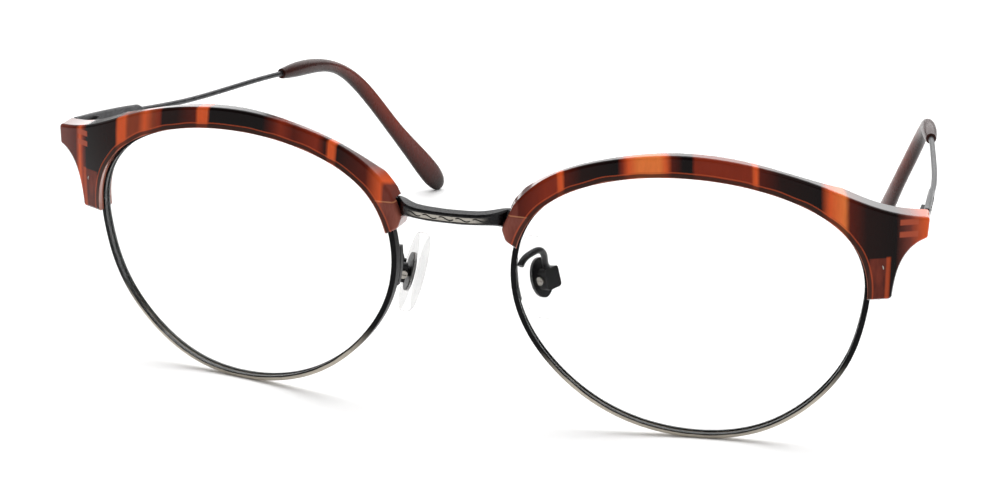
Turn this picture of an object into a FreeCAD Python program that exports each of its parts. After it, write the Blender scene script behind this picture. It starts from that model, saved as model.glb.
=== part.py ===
import FreeCAD, Part
import math
import os

# Browline eyeglasses, size 51-17-135, as an assembly of separate pieces.
#
# Millimetres. The finished frame stands open on a table: +X is the wearer's left, +Y points from
# the lenses to the ear ends, +Z is up, and the origin is the middle of the footprint on the table.
#
# Three working frames are used on the way there, all for the wearer's left side:
#   lens frame   X outwards from the lens centre, Y backwards, Z up in the plane of the lens
#   front frame  the lens frame turned by the wrap angle and moved out by half the lens spacing
#   table frame  the front frame leaned forward until the rims and the ear tips share the table
# The right side is the mirror image of the left.

Vector = FreeCAD.Vector

# ---- The front: lens shape, spacing and curve ------------------------------------------------
LENS_CENTRE_X = 34.4          # lens centre from the middle of the bridge
WRAP_ANGLE = 10.0             # each lens is turned back by this much at its outer edge
FACE_RADIUS = 123.0           # the sphere that the lenses, rims and brows are bent to
FACE_SAG = 2.2                # how far the middle of the lens stands in front of its edge
# Distance from the lens centre to the middle of the rim wire, every 30 degrees from the outer
# end of the horizontal, going up and over.
RIM_RADII = (25.1, 24.7, 21.2, 20.2, 22.3, 26.1, 25.4, 22.7, 21.35, 21.5, 23.0, 24.1)

# ---- Rim wire and lens -----------------------------------------------------------------------
RIM_HALF_WIDTH = 0.42
RIM_HALF_DEPTH = 0.72
RIM_ROUNDING = 0.2
GROOVE_FLOOR = 0.1            # lens groove, from the middle of the wire inwards
GROOVE_HALF_DEPTH = 0.32
LENS_HALF_THICKNESS = 0.8
LENS_PLAY = 0.02

# ---- Acetate brow ----------------------------------------------------------------------------
BROW_FRONT = -1.9             # front face, measured from the middle of the rim wire
BROW_OPENING = -0.05          # edge of both lips, from the middle of the rim wire
SLOT_REACH = 0.55             # depth of the rim slot above the middle of the wire
SLOT_HALF_DEPTH = 0.76
BROW_LEG_BOTTOM = 1.8
BROW_TOP = ((-25.6, 14.1), (-20.0, 19.2), (-11.0, 22.3), (-2.5, 23.3), (8.0, 22.2),
            (18.0, 19.2), (27.0, 15.4), (33.6, 13.9))
BROW_END = ((33.4, 10.8), (30.6, 8.9), (29.3, 6.0), (28.7, BROW_LEG_BOTTOM))
BROW_NOSE_CORNERS = ((-27.3, 10.4), (-26.7, 8.6))
BROW_NOSE_POINT = (-23.8, 6.9)      # inside the lens opening, which trims the tip
BROW_REAR = ((-30.0, 2.4), (-26.0, 2.0), (-20.0, 1.5), (-10.0, 1.2), (0.0, 1.1), (10.0, 1.25),
             (20.0, 1.6), (25.0, 1.9), (28.0, 2.5), (31.0, 3.5), (35.0, 4.5))
BROW_FRONT_ROUNDING = 0.5
BROW_BACK_ROUNDING = 0.5
# The back of the brow slopes down at 45 degrees between the nose and the end piece. This curve is
# where the slope meets the plane BEVEL_PLANE_Y; it runs out above the top edge at both ends.
BEVEL_PLANE_Y = 1.2
BEVEL_CURVE = ((-30.0, 16.9), (-25.0, 16.8), (-18.0, 18.9), (-10.0, 20.8), (-2.5, 21.6),
               (8.0, 20.6), (16.0, 18.6), (21.0, 18.6), (26.0, 21.8), (36.0, 30.0))
SLOPE_EDGE_LENGTHS = (40.0, 50.0)   # the long edges of the slope, and nothing else above SLOPE_EDGE_Z
SLOPE_EDGE_Z = 20.0
CORNER_ROUNDING = 0.6
NOSE_ROUNDING = 1.0
LEG_INSIDE_X = 22.0           # inside the lens opening, which trims the leg
# Edges of the uncut brow that the lens opening removes lie between these and below OPENING_TOP_Z.
OPENING_SIDES_X = (-26.0, 25.0)
OPENING_TOP_Z = 6.8

# ---- Rim lock, bracket, nose plate and brow screws ---------------------------------------------
RIM_SPLIT_Z = 3.4             # the rim is sawn through here, between the two lock blocks
RIM_SPLIT = 0.2
RIM_SPLIT_SIDES_X = (20.0, 30.0)
LOCK_HEIGHT = 1.7
LOCK_OUTER_X = 27.6
LOCK_REAR_Y = 1.6
LOCK_SCREW_INSET = 0.8        # screw axis, in from the outer face of the blocks
LOCK_SCREW_RADIUS = 0.4
LOCK_SCREW_HEAD_RADIUS = 0.7
LOCK_SCREW_HEAD = 0.3
BRACKET_TOP_Z = 8.3
BRACKET_OUTER_X = 28.2
BRACKET_REAR_Y = 0.6
METAL_FRONT_Y = -0.3          # front face of the blocks and the bracket, behind the acetate
METAL_INNER_X = 24.0          # inside the rim, which trims the blocks and the bracket
NOSE_PLATE_FRONT_Y = 0.35
NOSE_PLATE_REAR_Y = 1.15
NOSE_PLATE = ((-27.0, 10.6), (-26.5, 9.2), (-24.5, 8.6), (-23.4, 12.4), (-26.3, 13.1))
POCKET_PLAY = 0.05
BROW_SCREW_RADIUS = 0.5
BROW_SCREW_BITE = 0.6         # length of thread in the acetate
BROW_SCREW_HEAD_RADIUS = 0.9
BROW_SCREW_HEAD = 0.45
BRACKET_SCREW_AT = (26.9, 6.8)
NOSE_SCREW_AT = (-26.0, 11.4)

# ---- Bridge (front frame): middle of the bar, then its height and depth ------------------------
BRIDGE_STATIONS = ((0.0, -6.65, 12.25, 1.6, 1.9), (3.0, -6.5, 12.25, 1.65, 1.9),
                   (5.8, -5.7, 12.2, 1.8, 1.8), (7.3, -4.2, 11.8, 2.5, 1.3),
                   (8.6, -3.25, 11.4, 3.0, 0.9))
BRIDGE_CORNER = 0.25

# ---- Hinge (front frame) ---------------------------------------------------------------------
HINGE_X = 64.3
HINGE_Y = 11.0
HINGE_Z = 11.1
KNUCKLE_RADIUS = 1.1
KNUCKLE_HALF_HEIGHT = 0.55    # the temple's knuckle, held between two on the front
KNUCKLE_GAP = 0.08
KNUCKLE_HEIGHT = 0.8
NOTCH_PLAY = 0.25             # room around the temple's knuckle
HINGE_PIN_RADIUS = 0.4
HINGE_PIN_PLAY = 0.05
HINGE_HEAD_RADIUS = 0.75
HINGE_HEAD = 0.3              # sunk flush into the upper knuckle
LEAF_HALF_THICKNESS = 0.55
LEAF_START_Y = 6.4
ANCHOR_PLATE_DEPTH = 1.3
ANCHOR_PLATE_HALF_HEIGHT = 1.45
ANCHOR_Z = 11.95
ANCHOR_RADIUS = 0.45
ANCHOR_LENGTH = 3.0
ANCHOR_SPACING = 1.7
ANCHOR_DIRECTION = Vector(-0.93, -0.36, 0.0)
# The temple's leaf, from the hinge axis: outwards from and to, backwards from and to.
TEMPLE_NECK = (-0.2, 1.3, 0.0, 2.6)
TEMPLE_LEAF = (0.4, 1.3, 1.5, 5.5)

# ---- Temple (front frame) ----------------------------------------------------------------------
TEMPLE_PATH = (Vector(66.3, 10.1, 12.65), Vector(64.5, 28.7, 7.9), Vector(62.7, 45.5, 3.3),
               Vector(59.8, 65.0, -0.7), Vector(58.0, 76.0, -3.0), Vector(56.2, 85.5, -5.3),
               Vector(54.6, 94.5, -8.3), Vector(53.2, 100.5, -12.6), Vector(51.0, 104.6, -18.6),
               Vector(46.6, 113.0, -31.1), Vector(42.9, 120.5, -42.0))
# The flat strip behind the hinge: places along the arm and the height of the strip there.
TEMPLE_STRIP = ((0.6, 2.2), (10.0, 2.1), (20.0, 1.9))
TEMPLE_STRIP_THICKNESS = 0.85
TEMPLE_STRIP_CORNER = 0.2
TEMPLE_STEP_LENGTH = 1.6
TEMPLE_WIRE = 0.9
TEMPLE_WIRE_CORNER = 0.26
TEMPLE_WIRE_OVERLAP = 2.0     # the wire starts this far inside the strip
TEMPLE_WIRE_STOPS = 16
TIP_START = 69.0              # along the arm, from its front end
# Each section of the ear tip: how far along it, its thickness and its height.
TIP_SECTIONS = ((0.0, 1.7, 1.8), (0.8, 1.9, 2.0), (18.0, 1.9, 2.2), (28.0, 2.1, 2.7),
                (44.0, 2.2, 3.1), (52.0, 2.2, 3.9), (57.5, 2.2, 4.4), (60.8, 2.1, 4.0),
                (62.6, 1.6, 2.8), (63.4, 0.7, 1.2))
WIRE_IN_TIP = 50.0

# ---- Nose pads (front frame) -------------------------------------------------------------------
PAD_CENTRE = Vector(9.8, 6.4, -3.1)
PAD_LIFT = 0.8                # the left pad is bent up by this much and the right one down
PAD_TURN = math.radians(27)   # the breadth of the pad runs back and outwards
PAD_SPLAY = math.radians(16)  # its top leans towards the nose
PAD_HALF_LENGTH = 6.5
PAD_HALF_WIDTH = 3.6
PAD_FACE = -1.0               # nose side of the pad; positive is towards the lens
PAD_BACK = 0.8
PAD_FACE_ROUNDING = 0.8
PAD_BACK_ROUNDING = 0.3
CORE_HALF_LENGTH = 3.1
CORE_HALF_WIDTH = 2.1
CORE_FLOOR = 0.35
CORE_BACK = 0.9
PAD_AXIS = 1.95               # the pad rocks about a screw this far from its middle
TAB_HALF_WIDTH = 0.45
TAB_RADIUS = 0.65
TAB_HOLE_RADIUS = 0.42
PAD_SCREW_RADIUS = 0.35
PAD_SCREW_HEAD_RADIUS = 0.65
PAD_SCREW_HEAD = 0.35
SCREW_SLOT_HALF_WIDTH = 0.12
SCREW_SLOT_DEPTH = 0.17
BOX_HALF_WIDTH = 1.45
BOX_HALF_LENGTH = 1.6
BOX_BOTTOM = 1.45
BOX_TOP = 3.1
BOX_ROUNDING = 0.5
BOX_SLOT_TOP = 2.75
BOX_SLOT_HALF_WIDTH = 0.53
PAD_WIRE_RADIUS = 0.5
PAD_WIRE_BITE = 0.6           # the wire ends this far inside the corner of the box
PAD_STRIP_TOP = 4.8
PAD_STRIP_BOTTOM = -1.6
PAD_STRIP_DEPTH = 0.75
PAD_WIRE_PATH = (Vector(9.7, -2.7, 3.7), Vector(10.0, -1.6, 4.3), Vector(10.7, 0.0, 4.5),
                 Vector(11.3, 1.5, 4.2), Vector(11.6, 2.7, 3.1), Vector(11.5, 3.8, 1.5),
                 Vector(11.3, 4.9, 0.0))

# ---- Standing on the table ---------------------------------------------------------------------
FORWARD_LEAN = 9.6
TABLE_SHIFT = Vector(0.0, -58.29, 21.8)

REACH = 12.0                  # half the length of any prism used for trimming the front
FAR = 45.0                    # beyond the front in any direction
SAME = 0.01                   # lengths closer than this are the same
AXIS_X = Vector(1, 0, 0)
AXIS_Y = Vector(0, 1, 0)
AXIS_Z = Vector(0, 0, 1)
ORIGIN = Vector(0, 0, 0)


# ---- Moving between the frames -----------------------------------------------------------------
def lens_to_front(shape):
    moved = shape.copy()
    moved.rotate(ORIGIN, AXIS_Z, WRAP_ANGLE)
    moved.translate(Vector(LENS_CENTRE_X, 0, 0))
    return moved


def front_to_lens(shape):
    moved = shape.copy()
    moved.translate(Vector(-LENS_CENTRE_X, 0, 0))
    moved.rotate(ORIGIN, AXIS_Z, -WRAP_ANGLE)
    return moved


def front_to_table(shape):
    moved = shape.copy()
    moved.rotate(ORIGIN, AXIS_X, FORWARD_LEAN)
    moved.translate(TABLE_SHIFT)
    return moved


def pad_to_front(shape, lift):
    """Local axes of a nose pad: X across it, Y along it, Z from the nose to the lens."""
    across = Vector(math.sin(PAD_TURN), math.cos(PAD_TURN), 0)
    inward = Vector(-math.cos(PAD_TURN), math.sin(PAD_TURN), 0)
    along = AXIS_Z * math.cos(PAD_SPLAY) + inward * math.sin(PAD_SPLAY)
    outward = across.cross(along)
    middle = PAD_CENTRE + AXIS_Z * lift
    matrix = FreeCAD.Matrix(across.x, along.x, outward.x, middle.x,
                            across.y, along.y, outward.y, middle.y,
                            across.z, along.z, outward.z, middle.z,
                            0, 0, 0, 1)
    moved = shape.copy()
    moved.Placement = FreeCAD.Placement(matrix)
    return moved


def mirrored(shape):
    return shape.mirror(ORIGIN, AXIS_X)


# ---- Small geometry helpers --------------------------------------------------------------------
def box(low, high):
    size = high - low
    return Part.makeBox(size.x, size.y, size.z, low)


def cylinder(radius, start, end):
    direction = end - start
    return Part.makeCylinder(radius, direction.Length, start, direction)


def spline_edge(points, closed=False):
    curve = Part.BSplineCurve()
    curve.interpolate(points, PeriodicFlag=closed)
    return curve.toShape()


def rim_outline(extra):
    """The lens shape seen from the front, grown by extra."""
    points = []
    for index, radius in enumerate(RIM_RADII):
        angle = math.radians(index * 360 / len(RIM_RADII))
        points.append(Vector(math.cos(angle), 0, math.sin(angle)) * (radius + extra))
    return Part.Wire([spline_edge(points, closed=True)])


def prism(wire, front=-REACH, rear=REACH):
    """A flat outline carried through the front along Y."""
    face = Part.Face(wire)
    face.translate(Vector(0, front, 0))
    return face.extrude(Vector(0, rear - front, 0))


def face_sphere(offset):
    """The sphere that the front is bent to, moved back by offset."""
    centre = Vector(0, FACE_RADIUS - FACE_SAG, 0)
    return Part.makeSphere(FACE_RADIUS - offset, centre)


def curved_plate(wire, front, rear):
    return prism(wire).common(face_sphere(front)).cut(face_sphere(rear))


def polygon_wire(points):
    corners = [Vector(x, 0, z) for x, z in points]
    return Part.makePolygon(corners + corners[:1])


def edges_at(shape, places, tolerance=0.05):
    """The edges along Y that pass over the given (x, z) places."""
    found = []
    for edge in shape.Edges:
        first, last = edge.Vertexes[0].Point, edge.Vertexes[-1].Point
        for x, z in places:
            near_first = math.hypot(first.x - x, first.z - z) < tolerance
            near_last = math.hypot(last.x - x, last.z - z) < tolerance
            if near_first and near_last and abs(first.y - last.y) > tolerance:
                found.append(edge)
    return found


def chamfered_section(centre, tangent, width, height, corner):
    """A rectangle with its corners cut, square to the tangent, with its height upright."""
    side = tangent.cross(AXIS_Z).normalize()
    up = side.cross(tangent).normalize()
    half_w, half_h = width / 2, height / 2
    outline = ((half_w, half_h - corner), (half_w - corner, half_h), (corner - half_w, half_h),
               (-half_w, half_h - corner), (-half_w, corner - half_h), (corner - half_w, -half_h),
               (half_w - corner, -half_h), (half_w, corner - half_h))
    points = [centre + side * across + up * along for across, along in outline]
    return Part.makePolygon(points + points[:1])


def oval_section(centre, tangent, width, height):
    side = tangent.cross(AXIS_Z).normalize()
    up = side.cross(tangent).normalize()
    long_way, short_way, radius_long, radius_short = up, side, height / 2, width / 2
    ellipse = Part.Ellipse(centre + long_way * radius_long, centre + short_way * radius_short, centre)
    return Part.Wire([ellipse.toShape()])


def swept_rod(points, radius):
    path = spline_edge(points)
    start = path.valueAt(path.FirstParameter)
    tangent = path.tangentAt(path.FirstParameter)
    ring = Part.Wire([Part.makeCircle(radius, start, tangent)])
    return Part.Wire([path]).makePipeShell([ring], True, True)


# ---- Rim and lens (lens frame) -----------------------------------------------------------------
def make_eyewire():
    outer = curved_plate(rim_outline(RIM_HALF_WIDTH), -RIM_HALF_DEPTH, RIM_HALF_DEPTH)
    ring = outer.cut(prism(rim_outline(-RIM_HALF_WIDTH)))
    ring = ring.makeFillet(RIM_ROUNDING, [edge for edge in ring.Edges if len(edge.Vertexes) == 1])
    groove = curved_plate(rim_outline(-GROOVE_FLOOR), -GROOVE_HALF_DEPTH, GROOVE_HALF_DEPTH)
    saw_cut = box(Vector(RIM_SPLIT_SIDES_X[0], -REACH, RIM_SPLIT_Z - RIM_SPLIT / 2),
                  Vector(RIM_SPLIT_SIDES_X[1], REACH, RIM_SPLIT_Z + RIM_SPLIT / 2))
    return ring.cut(groove).cut(saw_cut)


def make_lens():
    body = curved_plate(rim_outline(-RIM_HALF_WIDTH - LENS_PLAY), -LENS_HALF_THICKNESS,
                        LENS_HALF_THICKNESS)
    bevel = curved_plate(rim_outline(-GROOVE_FLOOR - LENS_PLAY), LENS_PLAY - GROOVE_HALF_DEPTH,
                         GROOVE_HALF_DEPTH - LENS_PLAY)
    return body.fuse(bevel).removeSplitter()


def make_lock_block(bottom, top):
    """Half of the rim lock: a block soldered to the outside of the rim."""
    block = box(Vector(METAL_INNER_X, METAL_FRONT_Y, bottom), Vector(LOCK_OUTER_X, LOCK_REAR_Y, top))
    return block.cut(prism(rim_outline(RIM_HALF_WIDTH))).cut(make_lock_screw())


def make_lock_screw():
    x = LOCK_OUTER_X - LOCK_SCREW_INSET
    y = (METAL_FRONT_Y + LOCK_REAR_Y) / 2
    head_z = RIM_SPLIT_Z - LOCK_HEIGHT
    top_z = RIM_SPLIT_Z + LOCK_HEIGHT
    shaft = cylinder(LOCK_SCREW_RADIUS, Vector(x, y, head_z), Vector(x, y, top_z))
    head = cylinder(LOCK_SCREW_HEAD_RADIUS, Vector(x, y, head_z - LOCK_SCREW_HEAD),
                    Vector(x, y, head_z))
    return shaft.fuse(head).removeSplitter()


def make_bracket():
    """The plate behind the temporal leg, soldered to the rim and to the upper lock block."""
    plate = box(Vector(METAL_INNER_X, METAL_FRONT_Y, RIM_SPLIT_Z + LOCK_HEIGHT),
                Vector(BRACKET_OUTER_X, BRACKET_REAR_Y, BRACKET_TOP_Z))
    plate = plate.cut(prism(rim_outline(RIM_HALF_WIDTH)))
    return plate.cut(make_brow_screw(BRACKET_SCREW_AT, METAL_FRONT_Y, BRACKET_REAR_Y))


def make_brow_screw(place, plate_front, plate_rear):
    """A screw from behind, through a metal plate and into the acetate in front of it."""
    x, z = place
    shank = cylinder(BROW_SCREW_RADIUS, Vector(x, plate_front - BROW_SCREW_BITE, z),
                     Vector(x, plate_rear, z))
    head = cylinder(BROW_SCREW_HEAD_RADIUS, Vector(x, plate_rear, z),
                    Vector(x, plate_rear + BROW_SCREW_HEAD, z))
    return shank.fuse(head).removeSplitter()


def make_nose_plate(play=0.0):
    centre_x = sum(x for x, z in NOSE_PLATE) / len(NOSE_PLATE)
    centre_z = sum(z for x, z in NOSE_PLATE) / len(NOSE_PLATE)
    grown = []
    for x, z in NOSE_PLATE:
        length = math.hypot(x - centre_x, z - centre_z)
        grown.append((x + play * (x - centre_x) / length, z + play * (z - centre_z) / length))
    rear = REACH if play else NOSE_PLATE_REAR_Y
    return prism(polygon_wire(grown), NOSE_PLATE_FRONT_Y - play, rear)


# ---- Bridge (front frame) ----------------------------------------------------------------------
def make_bridge_bar():
    stations = [(-x, y, z, height, depth) for x, y, z, height, depth in BRIDGE_STATIONS[:0:-1]]
    stations += list(BRIDGE_STATIONS)
    path = spline_edge([Vector(x, y, z) for x, y, z, height, depth in stations])
    sections = []
    for x, y, z, height, depth in stations:
        centre = Vector(x, y, z)
        tangent = path.tangentAt(path.Curve.parameter(centre))
        sections.append(chamfered_section(centre, tangent, depth, height, BRIDGE_CORNER))
    return Part.makeLoft(sections, True, False)


# ---- Brow (lens frame) -------------------------------------------------------------------------
def brow_blank():
    top = spline_edge([Vector(x, 0, z) for x, z in BROW_TOP])
    end = spline_edge([Vector(x, 0, z) for x, z in BROW_END])
    leg_inside = (LEG_INSIDE_X, BROW_LEG_BOTTOM)
    lower = [Vector(x, 0, z) for x, z in (BROW_END[-1], leg_inside, BROW_NOSE_POINT,
                                          BROW_NOSE_CORNERS[1], BROW_NOSE_CORNERS[0], BROW_TOP[0])]
    outline = [top, Part.makeLine(Vector(BROW_TOP[-1][0], 0, BROW_TOP[-1][1]),
                                  Vector(BROW_END[0][0], 0, BROW_END[0][1])), end]
    outline += [Part.makeLine(start, stop) for start, stop in zip(lower, lower[1:])]
    blank = prism(Part.Wire(outline)).common(face_sphere(BROW_FRONT))
    rear = [Vector(x, y, 0) for x, y in BROW_REAR]
    far = [Vector(BROW_REAR[-1][0], REACH + 1, 0), Vector(BROW_REAR[0][0], REACH + 1, 0)]
    rear_edges = [spline_edge(rear), Part.makeLine(rear[-1], far[0]), Part.makeLine(far[0], far[1]),
                  Part.makeLine(far[1], rear[0])]
    behind = Part.Face(Part.Wire(rear_edges))
    behind.translate(Vector(0, 0, -FAR))
    return blank.cut(behind.extrude(Vector(0, 0, 2 * FAR)))


def outline_edges(blank, front):
    """The edges around the visible outline, on the front face or on the rear face."""
    found = []
    for edge in blank.Edges:
        if isinstance(edge.Curve, Part.Line):
            continue
        middle = edge.valueAt((edge.FirstParameter + edge.LastParameter) / 2)
        between_sides = OPENING_SIDES_X[0] < middle.x < OPENING_SIDES_X[1]
        inside_opening = between_sides and middle.z < OPENING_TOP_Z
        distance = (middle - Vector(0, FACE_RADIUS - FACE_SAG, 0)).Length
        on_front = abs(distance - (FACE_RADIUS - BROW_FRONT)) < SAME
        if on_front == front and not inside_opening:
            found.append(edge)
    return found


def bevel_cutter():
    """Everything above the slope on the back of the brow."""
    reach = 6.0
    curve = [Vector(x, BEVEL_PLANE_Y, z) for x, z in BEVEL_CURVE]
    above = [Vector(BEVEL_CURVE[-1][0], BEVEL_PLANE_Y, FAR), Vector(BEVEL_CURVE[0][0], BEVEL_PLANE_Y, FAR)]
    edges = [spline_edge(curve), Part.makeLine(curve[-1], above[0]),
             Part.makeLine(above[0], above[1]), Part.makeLine(above[1], curve[0])]
    face = Part.Face(Part.Wire(edges))
    face.translate(Vector(0, reach, -reach))
    return face.extrude(Vector(0, -2 * reach, 2 * reach))


def slope_edges(sloped):
    shortest, longest = SLOPE_EDGE_LENGTHS
    found = []
    for edge in sloped.Edges:
        middle = edge.valueAt((edge.FirstParameter + edge.LastParameter) / 2)
        if shortest < edge.Length < longest and middle.z > SLOPE_EDGE_Z:
            found.append(edge)
    return found


def round_brow(blank):
    corner_places = (BROW_TOP[-1], BROW_END[0], BROW_END[-1], BROW_TOP[0])
    blank = blank.makeFillet(CORNER_ROUNDING, edges_at(blank, corner_places))
    blank = blank.makeFillet(NOSE_ROUNDING, edges_at(blank, BROW_NOSE_CORNERS))
    blank = blank.makeFillet(BROW_FRONT_ROUNDING, outline_edges(blank, front=True))
    sloped = blank.cut(bevel_cutter())
    return sloped.makeFillet(BROW_BACK_ROUNDING, slope_edges(sloped))


def make_brow(hinge_leaf, bridge_bar):
    """hinge_leaf and bridge_bar are in the lens frame; both are let into the acetate."""
    brow = round_brow(brow_blank())
    brow = brow.cut(prism(rim_outline(BROW_OPENING)))
    brow = brow.cut(curved_plate(rim_outline(SLOT_REACH), -SLOT_HALF_DEPTH, SLOT_HALF_DEPTH))
    pockets = box(Vector(METAL_INNER_X, METAL_FRONT_Y - POCKET_PLAY, 0.0),
                  Vector(LOCK_OUTER_X + POCKET_PLAY, REACH, RIM_SPLIT_Z + LOCK_HEIGHT))
    pockets = pockets.fuse(box(Vector(METAL_INNER_X, METAL_FRONT_Y - POCKET_PLAY, RIM_SPLIT_Z + 1),
                               Vector(BRACKET_OUTER_X + POCKET_PLAY, REACH,
                                      BRACKET_TOP_Z + POCKET_PLAY)))
    brow = brow.cut(pockets.cut(prism(rim_outline(RIM_HALF_WIDTH)))).cut(make_nose_plate(POCKET_PLAY))
    for screw in make_brow_screws():
        brow = brow.cut(screw)
    return brow.cut(hinge_leaf).cut(bridge_bar)


def make_brow_screws():
    return [make_brow_screw(BRACKET_SCREW_AT, METAL_FRONT_Y, BRACKET_REAR_Y),
            make_brow_screw(NOSE_SCREW_AT, NOSE_PLATE_FRONT_Y, NOSE_PLATE_REAR_Y)]


# ---- Hinge (front frame) -----------------------------------------------------------------------
def hinge_point(z_offset):
    return Vector(HINGE_X, HINGE_Y, HINGE_Z + z_offset)


def hinge_top():
    return KNUCKLE_HALF_HEIGHT + KNUCKLE_GAP + KNUCKLE_HEIGHT


def hinge_screw_blank():
    """The hinge screw before its slot is cut."""
    top = hinge_top()
    shaft = cylinder(HINGE_PIN_RADIUS, hinge_point(-top), hinge_point(top))
    head = cylinder(HINGE_HEAD_RADIUS, hinge_point(top - HINGE_HEAD), hinge_point(top))
    return shaft.fuse(head).removeSplitter()


def make_hinge_screw():
    low = hinge_point(hinge_top() - SCREW_SLOT_DEPTH) - Vector(KNUCKLE_RADIUS, SCREW_SLOT_HALF_WIDTH, 0)
    high = hinge_point(hinge_top() + 1) + Vector(KNUCKLE_RADIUS, SCREW_SLOT_HALF_WIDTH, 0)
    return hinge_screw_blank().cut(box(low, high))


def make_hinge_front():
    """Two knuckles on a leaf, with an anchor plate and two pins inside the end of the brow."""
    middle = KNUCKLE_HALF_HEIGHT + KNUCKLE_GAP
    outer = hinge_top()
    leaf = box(Vector(HINGE_X - LEAF_HALF_THICKNESS, LEAF_START_Y, HINGE_Z - outer),
               Vector(HINGE_X + LEAF_HALF_THICKNESS, HINGE_Y, HINGE_Z + outer))
    plate = box(Vector(HINGE_X - LEAF_HALF_THICKNESS, LEAF_START_Y, ANCHOR_Z - ANCHOR_PLATE_HALF_HEIGHT),
                Vector(HINGE_X + LEAF_HALF_THICKNESS, LEAF_START_Y + ANCHOR_PLATE_DEPTH,
                       ANCHOR_Z + ANCHOR_PLATE_HALF_HEIGHT))
    barrel = cylinder(KNUCKLE_RADIUS, hinge_point(-outer), hinge_point(outer))
    notch = cylinder(KNUCKLE_RADIUS + NOTCH_PLAY, hinge_point(-middle), hinge_point(middle))
    hinge = leaf.fuse(barrel).cut(notch).fuse(plate)
    direction = Vector(ANCHOR_DIRECTION).normalize()
    for side in (-1, 1):
        start = Vector(HINGE_X, LEAF_START_Y + ANCHOR_PLATE_DEPTH / 2, ANCHOR_Z + side * ANCHOR_SPACING / 2)
        hinge = hinge.fuse(cylinder(ANCHOR_RADIUS, start, start + direction * ANCHOR_LENGTH))
    return hinge.cut(hinge_screw_blank()).removeSplitter()


def make_hinge_temple(arm):
    """The temple's knuckle on a leaf that is soldered to the inner face of the arm."""
    low, high = hinge_point(-KNUCKLE_HALF_HEIGHT), hinge_point(KNUCKLE_HALF_HEIGHT)
    hinge = cylinder(KNUCKLE_RADIUS, low, high)
    for inner, outer, front, rear in (TEMPLE_NECK, TEMPLE_LEAF):
        hinge = hinge.fuse(box(low + Vector(inner, front, 0), high + Vector(outer, rear, 0)))
    hinge = hinge.cut(arm)
    bore = cylinder(HINGE_PIN_RADIUS + HINGE_PIN_PLAY, low, high)
    return hinge.cut(bore).removeSplitter()


# ---- Temple (front frame) ----------------------------------------------------------------------
def along_temple(path, distance):
    parameter = path.getParameterByLength(distance)
    return path.valueAt(parameter), path.tangentAt(parameter)


def strip_section(path, distance, height):
    return chamfered_section(*along_temple(path, distance), TEMPLE_STRIP_THICKNESS, height,
                             TEMPLE_STRIP_CORNER)


def make_temple_arm(path):
    """A flat strip at the hinge that steps down to a round wire."""
    strip = Part.makeLoft([strip_section(path, *station) for station in TEMPLE_STRIP], True, False)
    strip_end = TEMPLE_STRIP[-1][0]
    wire_end = chamfered_section(*along_temple(path, strip_end + TEMPLE_STEP_LENGTH), TEMPLE_WIRE,
                                 TEMPLE_WIRE, TEMPLE_WIRE_CORNER)
    step = Part.makeLoft([strip_section(path, *TEMPLE_STRIP[-1]), wire_end], True, True)
    wire_points = [along_temple(path, distance)[0] for distance in temple_wire_stations()]
    return strip.fuse(step).fuse(swept_rod(wire_points, TEMPLE_WIRE / 2)).removeSplitter()


def temple_wire_stations():
    first = TEMPLE_STRIP[-1][0] - TEMPLE_WIRE_OVERLAP
    last = TIP_START + WIRE_IN_TIP
    stops = TEMPLE_WIRE_STOPS
    return [first + (last - first) * index / stops for index in range(stops + 1)]


def make_temple_tip(path, arm):
    body = Part.makeLoft([oval_section(*along_temple(path, TIP_START + distance), width, height)
                          for distance, width, height in TIP_SECTIONS], True, False)
    return body.cut(arm)


# ---- Nose pad (its own local axes, then the front frame) ---------------------------------------
def oval_plate(half_width, half_length, bottom, top):
    ellipse = Part.Ellipse(Vector(0, half_length, bottom), Vector(half_width, 0, bottom),
                           Vector(0, 0, bottom))
    face = Part.Face(Part.Wire([ellipse.toShape()]))
    return face.extrude(Vector(0, 0, top - bottom))


def make_nose_pad():
    pad = oval_plate(PAD_HALF_WIDTH, PAD_HALF_LENGTH, PAD_FACE, PAD_BACK)
    face_edge = [edge for edge in pad.Edges if edge.BoundBox.ZMax < PAD_FACE + SAME]
    pad = pad.makeFillet(PAD_FACE_ROUNDING, face_edge)
    back_edge = [edge for edge in pad.Edges if edge.BoundBox.ZMin > PAD_BACK - SAME]
    pad = pad.makeFillet(PAD_BACK_ROUNDING, back_edge)
    return pad.cut(oval_plate(CORE_HALF_WIDTH, CORE_HALF_LENGTH, CORE_FLOOR, PAD_BACK + 1))


def make_pad_core():
    plate = oval_plate(CORE_HALF_WIDTH, CORE_HALF_LENGTH, CORE_FLOOR, CORE_BACK)
    tab = box(Vector(-TAB_HALF_WIDTH, -TAB_RADIUS, CORE_FLOOR),
              Vector(TAB_HALF_WIDTH, TAB_RADIUS, PAD_AXIS))
    end = pad_axis_rod(TAB_RADIUS, -TAB_HALF_WIDTH, TAB_HALF_WIDTH)
    hole = pad_axis_rod(TAB_HOLE_RADIUS, -BOX_HALF_WIDTH, BOX_HALF_WIDTH)
    return plate.fuse(tab).fuse(end).cut(hole).removeSplitter()


def pad_axis_rod(radius, start, end):
    return cylinder(radius, Vector(start, 0, PAD_AXIS), Vector(end, 0, PAD_AXIS))


def make_pad_screw():
    shaft = pad_axis_rod(PAD_SCREW_RADIUS, -BOX_HALF_WIDTH, BOX_HALF_WIDTH)
    head = pad_axis_rod(PAD_SCREW_HEAD_RADIUS, -BOX_HALF_WIDTH - PAD_SCREW_HEAD, -BOX_HALF_WIDTH)
    outer_face = -BOX_HALF_WIDTH - PAD_SCREW_HEAD
    slot = box(Vector(outer_face - 1, -SCREW_SLOT_HALF_WIDTH, PAD_AXIS - 1),
               Vector(outer_face + SCREW_SLOT_DEPTH, SCREW_SLOT_HALF_WIDTH, PAD_AXIS + 1))
    return shaft.fuse(head).cut(slot).removeSplitter()


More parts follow.
